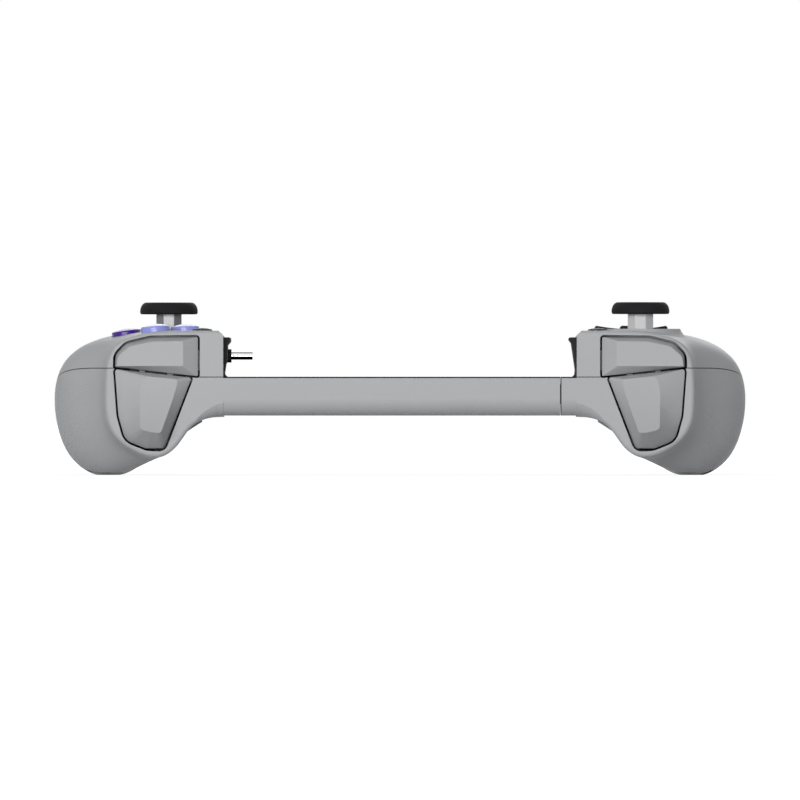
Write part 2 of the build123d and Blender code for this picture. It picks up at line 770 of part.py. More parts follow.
def stick_parts(side):
    x, y = stick_places[side]
    z = stick_pivot_height
    inner = module_half - module_wall
    floor_z = board_top + module_floor
    housing = block(x - module_half, x + module_half, y - module_half, y + module_half,
                    board_top, module_wall_top)
    housing -= block(x - inner, x + inner, y - inner, y + inner, floor_z,
                     module_wall_top + overrun)
    ear_in = gimbal_half + ear_clearance
    for sign in (-1, 1):
        near, far = sorted((x + sign * ear_in, x + sign * module_half))
        housing += block(near, far, y - ear_half_width, y + ear_half_width, floor_z, z + ear_rise)
    housing -= rod_x(y, z, x - module_half - overrun, x + module_half + overrun,
                     trunnion_radius + trunnion_gap)
    click = rod_z(x, y, floor_z, floor_z + trunnion_gap, 2 * shaft_radius)
    parts["stick_housing_" + side] = place(side, housing + click)

    gimbal = block(x - gimbal_half, x + gimbal_half, y - gimbal_half, y + gimbal_half,
                   z - gimbal_thickness / 2, z + gimbal_thickness / 2)
    opening = gimbal_opening_half
    gimbal -= block(x - opening, x + opening, y - opening, y + opening, z - gimbal_thickness,
                    z + gimbal_thickness)
    pin_end = module_half - parting_gap
    gimbal += rod_x(y, z, x + gimbal_half, x + pin_end, trunnion_radius)
    gimbal += rod_x(y, z, x - pin_end, x - gimbal_half, trunnion_radius)
    gimbal -= rod_y(x, z, y - gimbal_half - overrun, y + gimbal_half + overrun,
                    trunnion_radius + trunnion_gap)
    parts["stick_gimbal_" + side] = place(side, gimbal)

    rocker = block(x - rocker_half, x + rocker_half, y - rocker_half, y + rocker_half,
                   z - rocker_thickness / 2, z + rocker_thickness / 2)
    rocker += rod_y(x, z, y - gimbal_half, y + gimbal_half, trunnion_radius)
    rocker -= rod_z(x, y, z - rocker_thickness, z + rocker_thickness, shaft_radius + shaft_gap)
    parts["stick_rocker_" + side] = place(side, rocker)

    outer_ball = Pos(x, y, z) * Sphere(dome_radius)
    inner_ball = Pos(x, y, z) * Sphere(dome_radius - dome_thickness)
    dome_low = z + dome_radius * math.cos(math.radians(dome_half_angle))
    dome = (outer_ball - inner_ball) & block(
        x - dome_radius, x + dome_radius, y - dome_radius, y + dome_radius, dome_low,
        z + dome_radius)
    dome_top = z + dome_radius - post_root_depth
    octagon = RegularPolygon(post_across_flats / 2, post_sides, major_radius=False,
                             rotation=180 / post_sides)
    post = Pos(x, y, dome_top) * extrude(octagon, amount=post_top - dome_top)
    post = fillet(post.edges().filter_by(Axis.Z), post_corner)
    shaft = rod_z(x, y, z - shaft_below_pivot, dome_top + dome_thickness, shaft_radius)
    tenon = rod_z(x, y, post_top - dome_thickness, post_top + tenon_height, tenon_radius)
    parts["stick_shaft_" + side] = place(side, dome + post + shaft + tenon)

    outline = [(r * cap_radius, post_top + h * cap_thickness) for r, h in cap_profile_shares]
    cap = lathe([(0, post_top), *outline, (0, post_top + cap_thickness)], x, y)
    dish_reach = outline[-1][0]
    dish_radius = (dish_reach ** 2 + cap_dish ** 2) / (2 * cap_dish)
    cap -= Pos(x, y, post_top + cap_thickness - cap_dish + dish_radius) * Sphere(dish_radius)
    cap -= rod_z(x, y, post_top - overrun, post_top + tenon_height + cap_socket_gap,
                 tenon_radius + cap_socket_gap)
    parts["stick_cap_" + side] = place(side, cap)


# Buttons

def face_button(name):
    local_flange = button_top - face_underside + button_flange_drop
    crown_radius = (button_radius ** 2 + button_dome ** 2) / (2 * button_dome)
    cap = Pos(0, 0, -local_flange / 2) * Cylinder(button_radius, local_flange)
    cap &= Pos(0, 0, -crown_radius) * Sphere(crown_radius)
    shoulder = [e for e in cap.edges().filter_by(GeomType.CIRCLE) if e.center().Z > -2 * button_dome]
    cap = fillet(shoulder, button_edge)
    cap += Pos(0, 0, -local_flange + button_flange_thickness / 2) * Cylinder(
        button_flange_radius, button_flange_thickness)
    drop = face_buttons[name][3]
    stem = button_top - drop - stem_bottom
    cap += Pos(0, 0, -(local_flange + stem) / 2) * Cylinder(button_stem_radius,
                                                           stem - local_flange)
    parts["face_button_" + name] = place("right", button_axis(name) * cap)


def membrane(side, spots):
    cx = sum(x for x, y in spots) / len(spots)
    cy = sum(y for x, y in spots) / len(spots)
    spread = max(math.dist((cx, cy), spot) for spot in spots)
    sheet = rod_z(cx, cy, board_top, membrane_top, spread + membrane_dome_radius + membrane_edge)
    root_z = membrane_top - membrane_thickness / 2
    for x, y in spots:
        sheet += lathe([(0, root_z), (membrane_dome_radius, root_z),
                        (membrane_dome_radius, membrane_top),
                        (button_stem_radius, membrane_dome_top), (0, membrane_dome_top)], x, y)
    parts["button_membrane_" + side] = place(side, sheet)


def face_button_spots():
    spots = []
    for name in face_buttons:
        centre = (button_axis(name) * Pos(0, 0, stem_bottom - button_top)).position
        spots.append((centre.X, centre.Y))
    return spots


def small_button(name, side, x, y):
    drop = small_button_rise
    crown_radius = (small_button_radius ** 2 + drop ** 2) / (2 * drop)
    body = rod_z(x, y, face_underside - button_flange_drop, small_button_top, small_button_radius)
    body &= Pos(x, y, small_button_top - crown_radius) * Sphere(crown_radius)
    body += rod_z(x, y, face_underside - button_flange_drop,
                  face_underside - button_flange_drop + button_flange_thickness,
                  small_button_radius + small_button_lip)
    body += rod_z(x, y, stem_bottom, face_underside - button_flange_drop, small_button_stem)
    parts[name] = place(side, body)


def tact_switches(side):
    group = []
    for x, y in small_button_places:
        half = switch_side / 2
        body = block(x - half, x + half, y - half, y + half, board_top,
                     board_top + switch_height - parting_gap)
        group.append(body + rod_z(x, y, board_top, board_top + switch_height, small_button_stem))
    parts["tact_switches_" + side] = place(side, Compound(children=group))


def dpad_parts():
    x, y = dpad_place
    flange_z0 = dpad_flange_top - dpad_flange_thickness
    cross = dpad_cross(0, flange_z0, dpad_top)
    cross = fillet(cross.edges().filter_by(Axis.Z), dpad_corner)
    cross = chamfer(cross.faces().sort_by(Axis.Z)[-1].edges(), dpad_edge)
    half = dpad_span / 2
    dish_radius = (half ** 2 + dpad_dish ** 2) / (2 * dpad_dish)
    cross -= Pos(x, y, dpad_top - dpad_dish + dish_radius) * Sphere(dish_radius)
    cross += rod_z(x, y, flange_z0, dpad_flange_top, dpad_flange_radius)
    cross -= rod_z(x, y, flange_z0 - overrun, dpad_pivot_height + dpad_socket_rise,
                   dpad_socket_radius)
    spots = []
    for out, along in ((1, 0), (-1, 0), (0, 1), (0, -1)):
        px = x + out * dpad_plunger_out
        py = y + along * dpad_plunger_out
        spots.append((px, py))
        cross += rod_z(px, py, stem_bottom, flange_z0, dpad_plunger_radius)
    parts["direction_pad"] = cross
    spider = rod_x(y, dpad_pivot_height, x - dpad_spider_length / 2, x + dpad_spider_length / 2,
                   dpad_spider_radius)
    spider += rod_y(x, dpad_pivot_height, y - dpad_spider_length / 2, y + dpad_spider_length / 2,
                    dpad_spider_radius)
    parts["direction_pad_spider"] = spider
    parts["direction_pad_post"] = rod_z(x, y, membrane_top + parting_gap,
                                        dpad_pivot_height - dpad_spider_radius - fit_gap,
                                        dpad_post_radius)
    membrane("left", spots)


# Triggers and bumpers

def trigger_parts(side):
    hood = trigger_solid(0, trigger_hood_depth)
    hood -= trigger_solid(skin, trigger_hood_depth + overrun)
    x0 = half_gap
    x1 = half_width
    hood -= block(x0, x1, trigger_edge_y + skirt_depth, front_y + overall_depth,
                  trigger_deep_hood_top, face_height)
    chord_top = trigger_pad[0][1]
    chord_low = trigger_pad[-2][1]
    chord = math.hypot(chord_top - chord_low, trigger_reach - trigger_top_reach)
    hollow_radius = chord ** 2 / (8 * trigger_hollow)
    mid_z = (chord_top + chord_low) / 2
    mid_y = trigger_pad_depth(mid_z)
    slope = math.atan2(trigger_reach - trigger_top_reach, chord_top - chord_low)
    away = hollow_radius - trigger_hollow
    dip = rod_x(mid_y - away * math.cos(slope), mid_z + away * math.sin(slope), x0, x1,
                hollow_radius)
    tube_x0 = half_gap + trigger_tube_out
    tube_x1 = tube_x0 + trigger_tube_length
    z = trigger_pivot_height
    y = trigger_pivot_y
    front_space = trigger_solid(0, trigger_hood_depth)
    for arm_x in (tube_x0 + trigger_arm_inset,
                  tube_x1 - trigger_arm_inset - trigger_arm_width):
        arm_x1 = arm_x + trigger_arm_width
        hood += block(arm_x, arm_x1, y, y + trigger_arm_thickness, trigger_ear_bottom, z)
        ear = block(arm_x, arm_x1, front_y - trigger_reach, trigger_edge_y + skirt_depth,
                    trigger_ear_bottom, trigger_ear_top) & front_space
        ear += block(arm_x, arm_x1, trigger_edge_y + skirt_depth, y + trigger_arm_thickness,
                     trigger_ear_bottom, trigger_ear_top)
        hood += ear
    hood += rod_x(y, z, tube_x0, tube_x1, trigger_tube_radius)
    hood -= rod_x(y, z, tube_x0 - overrun, tube_x1 + overrun, trigger_tube_bore)
    sweep = rod_x(y, z, x0, x1, trigger_sweep_radius)
    parts["trigger_" + side] = place(side, (hood & sweep) - dip)

    ear_x0 = half_gap + bracket_out
    ear_x1 = tube_x1 + 2 * fit_gap
    plate_y = front_y + bracket_plate_back
    bracket = block(ear_x0, ear_x1 + bracket_ear_thickness, plate_y,
                    plate_y + bracket_plate_thickness, bracket_plate_bottom, bracket_plate_top)
    foot_y = plate_y + bracket_foot_length
    bracket += block(ear_x0, ear_x0 + bracket_foot_width, plate_y, foot_y, bracket_plate_bottom,
                     bracket_plate_bottom + bracket_plate_thickness)
    bracket += block(ear_x0, ear_x0 + bracket_foot_width, foot_y - bracket_plate_thickness, foot_y,
                     board_top, bracket_plate_bottom)
    for ear_x in (ear_x0, ear_x1):
        bracket += block(ear_x, ear_x + bracket_ear_thickness, y - trigger_pin_radius - bracket_ear_margin,
                         plate_y, bracket_ear_bottom, bracket_ear_top)
    bracket -= rod_x(y, z, ear_x0 - overrun, ear_x1 + overrun, trigger_pin_radius)
    parts["trigger_bracket_" + side] = place(side, bracket)
    pins[side].append(rod_x(y, z, ear_x0, ear_x1 + bracket_ear_thickness, trigger_pin_radius))

    coil_x0 = ear_x0 + bracket_ear_thickness + fit_gap
    coil_length = tube_x0 - coil_x0 - fit_gap
    parts["trigger_spring_" + side] = place(side, coil_along_x(
        coil_x0, coil_length, y, z, trigger_pin_radius + 2 * torsion_wire_radius,
        torsion_wire_radius, torsion_turns))


def coil_along_x(x0, length, y, z, coil_radius, wire_radius, turns):
    path = Helix(pitch=length / turns, height=length, radius=coil_radius)
    start = path @ 0
    section = Plane(origin=start, z_dir=path % 0) * Circle(wire_radius)
    spring = sweep(section, path=path, is_frenet=True)
    return Pos(x0, y, z) * Rot(0, 90, 0) * spring


def bumper_parts(side):
    shell = bumper_solid(0, skirt_depth) - bumper_solid(skin, skirt_depth + overrun)
    x = half_gap + bumper_hinge_out
    y = front_y + bumper_hinge_back
    skirt_x0 = bumper_edge[0][0]
    arm_y1 = y + skin / 2
    shell += block(skirt_x0, skirt_x0 + skin, trigger_edge_y, arm_y1, bumper_tube_bottom,
                   bumper_tube_top)
    shell += block(x, skirt_x0 + skin, y - skin / 2, arm_y1, bumper_tube_bottom, bumper_tube_top)
    shell += rod_z(x, y, bumper_tube_bottom, bumper_tube_top, bumper_tube_radius)
    shell -= rod_z(x, y, bumper_tube_bottom - overrun, bumper_tube_top + overrun, bumper_tube_bore)
    parts["bumper_" + side] = place(side, shell)
    pins[side].append(rod_z(x, y, board_top + parting_gap, face_underside - parting_gap,
                            bumper_pin_radius))

    switch_x1 = half_gap + trigger_tube_out + trigger_tube_length
    switch = block(switch_x1 - bumper_switch_width, switch_x1, front_y + bumper_switch_back,
                   front_y + bracket_plate_back, bumper_switch_bottom, bumper_switch_top)
    parts["bumper_switch_" + side] = place(side, switch)


# Board, screws, back button, sockets

def board(side, inside):
    y0 = front_y + board_front_back
    slab = block(half_gap, half_width, y0, front_y + board_back_back, board_bottom, board_top)
    slab += block(half_gap, half_gap + wall + board_clearance + board_tab_width,
                  y0 - board_tab_length, y0 + wall, board_bottom, board_top)
    slab &= inside
    for x, y in columns:
        slab -= rod_z(x, y, 0, face_height, column_hole + parting_gap)
    parts["board_" + side] = place(side, slab)


def screws(side):
    group = []
    for x, y in columns:
        head_top = screw_seat_height
        head = rod_z(x, y, head_top - screw_head_thickness, head_top, screw_head_radius)
        head -= block(x - screw_head_radius, x + screw_head_radius, y - screw_slot_width / 2,
                      y + screw_slot_width / 2, head_top - screw_head_thickness,
                      head_top - screw_head_thickness + screw_slot_depth)
        head -= block(x - screw_slot_width / 2, x + screw_slot_width / 2, y - screw_head_radius,
                      y + screw_head_radius, head_top - screw_head_thickness,
                      head_top - screw_head_thickness + screw_slot_depth)
        group.append(head + rod_z(x, y, head_top, head_top + screw_length, screw_shank_radius))
    parts["rear_screws_" + side] = place(side, Compound(children=group))


def back_button(side):
    button = back_button_block(0, back_button_proud, 0)
    low = button.faces().sort_by(Axis.Z)[0]
    button = fillet(low.edges(), back_button_edge)
    parts["back_button_" + side] = place(side, button)


def sockets():
    x, z = jack_axis_place("left")
    y1 = front_y + jack_face_back
    barrel = rod_y(x, z, y1 - jack_barrel_length, y1, jack_barrel_radius)
    barrel -= rod_y(x, z, y1 - jack_bore_depth, y1 + overrun, jack_bore_radius)
    parts["audio_jack"] = barrel
    port = port_block(0)
    cavity = block(x - port_width / 2, x + port_width / 2, y1 - port_length + port_shell,
                   y1 + overrun, z - port_opening / 2, z + port_opening / 2)
    port -= fillet(cavity.edges().filter_by(Axis.Y), port_corner)
    blade = plug_tongue_thickness / 2
    port += block(x - port_blade_width / 2, x + port_blade_width / 2, y1 - port_length,
                  y1 - port_shell, z - blade, z + blade)
    parts["charge_port"] = place("right", port)


# Bridge pieces

def slide_parts():
    tongue = tongue_space(tongue_x0, tongue_x1, 0)
    tongue -= block(tongue_x0 - overrun, tongue_x1 + overrun, tongue_y0 + tongue_wall,
                    tongue_y1 - tongue_wall, tongue_bottom + tongue_wall, tongue_top - tongue_wall)
    lug_z0 = tongue_mid_z - lug_height / 2
    lug_z1 = tongue_mid_z + lug_height / 2
    for y in rod_ys:
        near, far = (channel_y0 + fit_gap, tongue_y0) if y < bridge_mid_y else (
            tongue_y1, channel_y1 - fit_gap)
        tongue += block(tongue_x0, tongue_x0 + lug_length, near, far, lug_z0, lug_z1)
        tongue -= rod_x(y, tongue_mid_z, tongue_x0 - overrun, tongue_x0 + lug_length + overrun,
                        rod_radius + fit_gap)
    parts["slide_tongue"] = tongue

    rods = []
    springs = []
    spring_x0 = tongue_x0 + lug_length + fit_gap
    for y in rod_ys:
        rods.append(rod_x(y, tongue_mid_z, channel_x0 - wall / 2, channel_x1 + wall / 2,
                          rod_radius))
        springs.append(coil_along_x(spring_x0, channel_x1 - spring_x0 - fit_gap, y, tongue_mid_z,
                                    spring_coil_radius, spring_wire_radius, spring_turns))
    parts["guide_rods"] = Compound(children=rods)
    parts["return_springs"] = Compound(children=springs)

    y0 = bridge_mid_y - ribbon_width / 2
    y1 = bridge_mid_y + ribbon_width / 2
    t = ribbon_thickness
    low_z = bridge_floor + bridge_wall + parting_gap
    fold_x = ribbon_fold_out - half_gap
    high_z = tongue_bottom - parting_gap - t
    riser_x = tongue_x0 - 2 * t
    in_module = half_gap + wall + 2 * board_clearance
    ribbon = block(-in_module - t, fold_x, y0, y1, low_z, low_z + t)
    ribbon += block(-in_module - t, -in_module, y0, y1, low_z, board_bottom)
    ribbon += block(fold_x - t, fold_x, y0, y1, low_z, high_z + t)
    ribbon += block(riser_x - t, fold_x, y0, y1, high_z, high_z + t)
    ribbon += block(riser_x - t, riser_x, y0, y1, high_z, tongue_mid_z)
    end_x = tongue_x1 + ribbon_rise
    ribbon += block(riser_x - t, end_x, y0, y1, tongue_mid_z - t, tongue_mid_z)
    ribbon += block(end_x - t, end_x, y0, y1, tongue_mid_z - t, board_bottom)
    parts["flex_ribbon"] = ribbon


def bridge_covers():
    cover = block(channel_x0 + parting_gap, channel_x1 - parting_gap, channel_y0 + parting_gap,
                  channel_y1 - parting_gap, plate_bottom, plate_top)
    parts["bridge_top_plate"] = cover
    pad_x0 = dock_foot_length - half_gap + parting_gap
    parts["phone_pad"] = block(pad_x0, sleeve_end, bridge_y0, bridge_y1, plate_top, bridge_top)


def bracket_profile(reach, shares):
    rise = lip_height - bridge_top
    return [(half_gap - out * reach, bridge_top + up * rise) for out, up in shares]


def phone_brackets():
    y0 = bridge_y0 + bracket_margin
    y1 = bridge_y1 - bracket_margin
    foot = [(half_gap, plate_top)]
    dock = prism_y(foot + bracket_profile(dock_lip_reach, dock_profile_shares), y0, y1)
    dock += block(half_gap - dock_foot_length, half_gap, bridge_y0, bridge_y1, plate_top,
                  bridge_top)
    dock -= overmold_window()
    dock -= plug_pin_solid(parting_gap / 2)
    parts["dock_bracket_right"] = place("right", dock)

    hook = prism_y(foot + bracket_profile(end_lip_reach, end_profile_shares), y0, y1)
    hook += block(sleeve_end + slide_end_gap, half_gap, bridge_y0, bridge_y1, plate_top,
                  bridge_top)
    parts["dock_bracket_left"] = hook


def overmold_window():
    half = overmold_length / 2 + fit_gap
    room = overmold_radius + fit_gap
    return block(half_gap - overrun, half_gap + wall + overrun, bridge_mid_y - half,
                 bridge_mid_y + half, plug_height - room, plug_height + room)


def plug_pin_solid(gap):
    half = overmold_length / 2 + plug_pin_overhang
    return rod_y(half_gap + overmold_behind_wall, plug_height, bridge_mid_y - half - gap,
                 bridge_mid_y + half + gap, plug_pin_radius + gap)


def plug_parts():
    x = half_gap + overmold_behind_wall
    half = overmold_length / 2
    mold = rod_y(x, plug_height, bridge_mid_y - half, bridge_mid_y + half, overmold_radius)
    neck_x = x - overmold_radius - parting_gap / 2
    neck = block(neck_x, neck_x + 2 * overmold_neck_length, bridge_mid_y - overmold_neck_width / 2,
                 bridge_mid_y + overmold_neck_width / 2, plug_height - overmold_neck_height / 2,
                 plug_height + overmold_neck_height / 2)
    neck = fillet(neck.edges().filter_by(Axis.X), overmold_neck_height / 2 - parting_gap)
    mold += neck
    mold -= plug_pin_solid(parting_gap / 2)
    parts["plug_overmold"] = place("right", mold)
    pins["right"].append(plug_pin_solid(0))

    def oval(shrink, x0, x1):
        r = plug_thickness / 2 - shrink
        reach = (plug_width - plug_thickness) / 2
        return (block(x0, x1, bridge_mid_y - reach, bridge_mid_y + reach, plug_height - r,
                      plug_height + r)
                + rod_x(bridge_mid_y - reach, plug_height, x0, x1, r)
                + rod_x(bridge_mid_y + reach, plug_height, x0, x1, r))

    tip = neck_x - plug_length
    shell = oval(0, tip, neck_x)
    shell -= oval(plug_shell, tip - overrun, neck_x - plug_shell)
    reach = (plug_width - plug_thickness) / 2
    for sign in (-1, 1):
        edge = bridge_mid_y + sign * (reach + plug_thickness / 2 - 2 * plug_shell)
        inner_edge = edge - sign * plug_shell
        shell += block(tip + plug_shell, neck_x - plug_shell, min(edge, inner_edge),
                       max(edge, inner_edge), plug_height - plug_tongue_thickness / 2,
                       plug_height + plug_tongue_thickness / 2)
    parts["phone_plug"] = place("right", shell)


# Assembly

outside = grip_outside()
hollow = outside - grip_inside(wall) - pockets()
jack_x, jack_z = jack_axis_place("left")
seat_y = front_y + jack_face_back
hollow += outside & rod_y(jack_x, jack_z, seat_y - socket_boss_depth, back_y,
                          port_seat_radius + wall)
hollow -= rod_y(jack_x, jack_z, seat_y, back_y + overrun, port_seat_radius)
board_room = grip_inside(wall + board_clearance)
# The columns reach a little way into the walls, so that they are one with the shells
column_room = grip_inside(wall - fit_gap)
for side in ("right", "left"):
    front = front_shell(side, hollow, column_room)
    rear = rear_shell(side, hollow, column_room)
    if side == "right":
        front -= overmold_window()
        front -= plug_pin_solid(parting_gap / 2)
        channel, ribbon_slot = bridge_channel()
        rear = place(side, rear) + channel - ribbon_slot
        parts["rear_shell_right"] = rear
    else:
        stub = bridge_section(sleeve_end + slide_end_gap, half_gap + wall, plate_top)
        rear = rear + stub
        rear -= tongue_space(sleeve_end - overrun, tongue_x1 + parting_gap, parting_gap / 2)
        rear -= block(half_gap, half_gap + 2 * wall, bridge_mid_y - ribbon_width / 2 - fit_gap,
                      bridge_mid_y + ribbon_width / 2 + fit_gap, tongue_mid_z - wall / 2,
                      tongue_mid_z + wall / 2)
        parts["rear_shell_left"] = rear
    parts["front_shell_" + side] = place(side, front)
    stick_parts(side)
    trigger_parts(side)
    bumper_parts(side)
    board(side, board_room)
    screws(side)
    tact_switches(side)
    back_button(side)
for name in face_buttons:
    face_button(name)
membrane("right", face_button_spots())
dpad_parts()
small_button("menu_button", "right", *small_button_places[0])
small_button("home_button", "right", *small_button_places[1])
small_button("view_button", "left", *small_button_places[0])
small_button("capture_button", "left", *small_button_places[1])
sockets()
slide_parts()
bridge_covers()
phone_brackets()
plug_parts()
for side in ("right", "left"):
    parts["hinge_pins_" + side] = place(side, Compound(children=pins[side]))

os.makedirs("parts", exist_ok=True)
for name, solid in parts.items():
    export_step(solid, f"parts/{name}.step")
print(len(parts), "parts written")
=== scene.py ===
import json
import math

import bmesh
import bpy
from mathutils import Matrix, Vector


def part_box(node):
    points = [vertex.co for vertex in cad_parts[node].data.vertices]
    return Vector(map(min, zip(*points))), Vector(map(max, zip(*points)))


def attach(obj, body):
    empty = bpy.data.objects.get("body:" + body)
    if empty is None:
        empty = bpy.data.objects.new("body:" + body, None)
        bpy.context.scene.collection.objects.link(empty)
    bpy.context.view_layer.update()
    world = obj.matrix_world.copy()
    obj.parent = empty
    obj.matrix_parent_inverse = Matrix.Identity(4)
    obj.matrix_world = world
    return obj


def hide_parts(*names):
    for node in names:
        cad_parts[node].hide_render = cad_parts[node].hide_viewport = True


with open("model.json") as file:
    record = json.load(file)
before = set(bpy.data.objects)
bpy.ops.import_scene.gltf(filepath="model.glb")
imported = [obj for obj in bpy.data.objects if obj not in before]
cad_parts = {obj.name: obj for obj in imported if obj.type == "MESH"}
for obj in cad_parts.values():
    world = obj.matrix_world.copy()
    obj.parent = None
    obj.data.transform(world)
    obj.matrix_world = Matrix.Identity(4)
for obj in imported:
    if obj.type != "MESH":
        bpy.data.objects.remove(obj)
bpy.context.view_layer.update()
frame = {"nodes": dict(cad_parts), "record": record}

# The looks of a stretching mobile game controller: materials on every piece, finely meshed stick
# caps and buttons, soft studio light and the camera. All lengths are in metres.

MM = 0.001
nodes = frame["nodes"]


# Colours, as linear values

BODY_GREY = (0.455, 0.463, 0.478)
BRIDGE_GREY = (0.440, 0.448, 0.462)
BLACK = (0.012, 0.012, 0.013)
TRIM_BLACK = (0.024, 0.024, 0.026)
PAD_BLACK = (0.016, 0.016, 0.017)
RUBBER_BLACK = (0.014, 0.014, 0.015)
DEEP_PURPLE = (0.052, 0.006, 0.255)
LAVENDER = (0.310, 0.335, 0.800)
POST_GREY = (0.66, 0.66, 0.67)
# Painted shade for the slanting flats of the stick posts
POST_PAINTED_SHADE = (0.20, 0.20, 0.21)
SILICONE = (0.32, 0.33, 0.35)
WHITE_PLASTIC = (0.72, 0.72, 0.69)
TONGUE_GREY = (0.085, 0.087, 0.092)
BOARD_GREEN = (0.012, 0.085, 0.040)
RIBBON_AMBER = (0.36, 0.16, 0.04)
STEEL = (0.55, 0.56, 0.57)
NICKEL = (0.78, 0.78, 0.80)


# Surface detail: sizes of grain, ribs, scuffs and tracks, where each shows, and the reach of
# painted shade

GRAIN = 0.22 * MM
GRAIN_LIFT = 0.02 * MM
SOFT_EDGE = 0.3 * MM
RIB_PITCH = 0.85 * MM
RIB_LIFT = 0.08 * MM
RIB_STRENGTH = 0.55
RIB_LEAN_X = 0.55
RIB_LEAN_Y = 0.35
RIBS_OUT = (92 * MM, 97 * MM)
RIBS_LOW = (32 * MM, 27 * MM)
RIBS_BACK = (-37 * MM, -28 * MM)
GAP_SHADE_REACH = 1.6 * MM
BUTTON_GAP_SHADE_REACH = 1.0 * MM
RUBBER_GAP_SHADE_REACH = 3 * MM
ROOM_SHADE_REACH = 30 * MM
GAP_SHADE_OPENNESS = (0.10, 0.42)
DRIFT_RANGE = (0.3, 0.7)
RIPPLE = 1.8 * MM
RIPPLE_LIFT = 0.05 * MM
SCUFF = 0.12 * MM
SCUFF_LIFT = 0.01 * MM
FAINT = 0.05
STREAK = 0.1 * MM
PEBBLE = 0.35 * MM
PEBBLE_LIFT = 0.04 * MM
RUBBER_GRAIN = 0.15 * MM
TRACKS_ACROSS = 1.6 * MM
TRACKS_ALONG = 2.3 * MM
TRACK_LIFT = 0.03 * MM
PLUG_UPPER_PAINTED_EDGE = ((0.64, 0.76), (0.99, 0.965))
PLUG_LOWER_PAINTED_EDGE = (-0.22, -0.36)
SLANT_SHADE_RANGE = ((0.30, 0.50), (0.93, 0.80))
POST_SHOWS_ABOVE = (46.5 * MM, 47.0 * MM)
POST_SHADE_ACROSS = (90 * MM, -60 * MM)


# Material makers

class Nodes:
    """A material under construction: adds shader nodes and links them."""

    def __init__(self, name):
        self.material = bpy.data.materials.new(name)
        self.material.use_nodes = True
        self.tree = self.material.node_tree
        self.tree.nodes.clear()
        self.output = self.add("ShaderNodeOutputMaterial")
        self.shader = self.add("ShaderNodeBsdfPrincipled")
        self.link(self.shader, "BSDF", self.output, "Surface")
        self.place = self.add("ShaderNodeTexCoord")

    def add(self, kind, **settings):
        node = self.tree.nodes.new(kind)
        for key, value in settings.items():
            setattr(node, key, value)
        return node

    def link(self, source, output, target, socket):
        self.tree.links.new(source.outputs[output], target.inputs[socket])

    def noise(self, size, detail=2.0, roughness=0.5):
        node = self.add("ShaderNodeTexNoise")
        node.inputs["Scale"].default_value = 1 / size
        node.inputs["Detail"].default_value = detail
        node.inputs["Roughness"].default_value = roughness
        self.link(self.place, "Object", node, "Vector")
        return node

    def ramp(self, source, output, stops):
        node = self.add("ShaderNodeValToRGB")
        elements = node.color_ramp.elements
        while len(elements) < len(stops):
            elements.new(0.5)
        for element, (at, colour) in zip(elements, stops):
            element.position = at
            element.color = (*colour, 1.0)
        self.link(source, output, node, "Fac")
        return node

    def span(self, source, output, low, high, to_low, to_high):
        node = self.add("ShaderNodeMapRange", interpolation_type="SMOOTHSTEP")
        node.inputs["From Min"].default_value = low
        node.inputs["From Max"].default_value = high
        node.inputs["To Min"].default_value = to_low
        node.inputs["To Max"].default_value = to_high
        self.link(source, output, node, "Value")
        return node

    def maths(self, operation, first, second=None):
        node = self.add("ShaderNodeMath", operation=operation)
        for index, item in enumerate((first, second)):
            if isinstance(item, (int, float)):
                node.inputs[index].default_value = item
            elif item is not None:
                self.tree.links.new(item, node.inputs[index])
        return node.outputs[0]

    def position(self):
        node = self.add("ShaderNodeSeparateXYZ")
        self.link(self.place, "Object", node, "Vector")
        return node

    def bump(self, height, strength, distance, normal=None):
        node = self.add("ShaderNodeBump")
        node.inputs["Strength"].default_value = strength
        node.inputs["Distance"].default_value = distance
        self.tree.links.new(height, node.inputs["Height"])
        if normal:
            self.tree.links.new(normal.outputs["Normal"], node.inputs["Normal"])
        return node

    def blend(self, factor, first, second):
        """The first colour where factor is 0, the second where it is 1."""
        node = self.add("ShaderNodeMix", data_type="RGBA")
        self.tree.links.new(factor, node.inputs["Factor"])
        for name, colour in (("A", first), ("B", second)):
            if isinstance(colour, tuple):
                node.inputs[name].default_value = (*colour, 1.0)
            else:
                self.tree.links.new(colour, node.inputs[name])
        return node.outputs["Result"]

    def facing(self):
        node = self.add("ShaderNodeSeparateXYZ")
        self.link(self.place, "Normal", node, "Vector")
        return node

    def colour(self, value):
        self.tree.links.new(value, self.shader.inputs["Base Color"])


def shades(colour, change):
    darker = tuple(channel * (1 - change) for channel in colour)
    lighter = tuple(channel * (1 + change) for channel in colour)
    return darker, lighter


def finish(kit, colour, change, patch, rough, rough_change):
    """Colour that drifts a little over patches, and roughness that drifts with it."""
    darker, lighter = shades(colour, change)
    drift = kit.noise(patch, detail=4.0)
    kit.shader.inputs["Roughness"].default_value = rough
    low, high = DRIFT_RANGE
    rough_span = kit.span(drift, "Fac", low, high, rough - rough_change, rough + rough_change)
    kit.link(rough_span, "Result", kit.shader, "Roughness")
    return kit.ramp(drift, "Fac", [(low, darker), (high, lighter)]).outputs["Color"]


def paint_gap_shade(kit, tint, reach):
    """Painted shade: the colour falls to near black inside narrow gaps, standing for the shadow
    they hold, with a little dust.
    """
    gap = kit.add("ShaderNodeAmbientOcclusion", samples=8, only_local=False)
    gap.inputs["Distance"].default_value = reach
    unshaded_share = kit.span(gap, "AO", *GAP_SHADE_OPENNESS, 0.0, 1.0)
    kit.colour(kit.blend(unshaded_share.outputs["Result"], BLACK, tint))


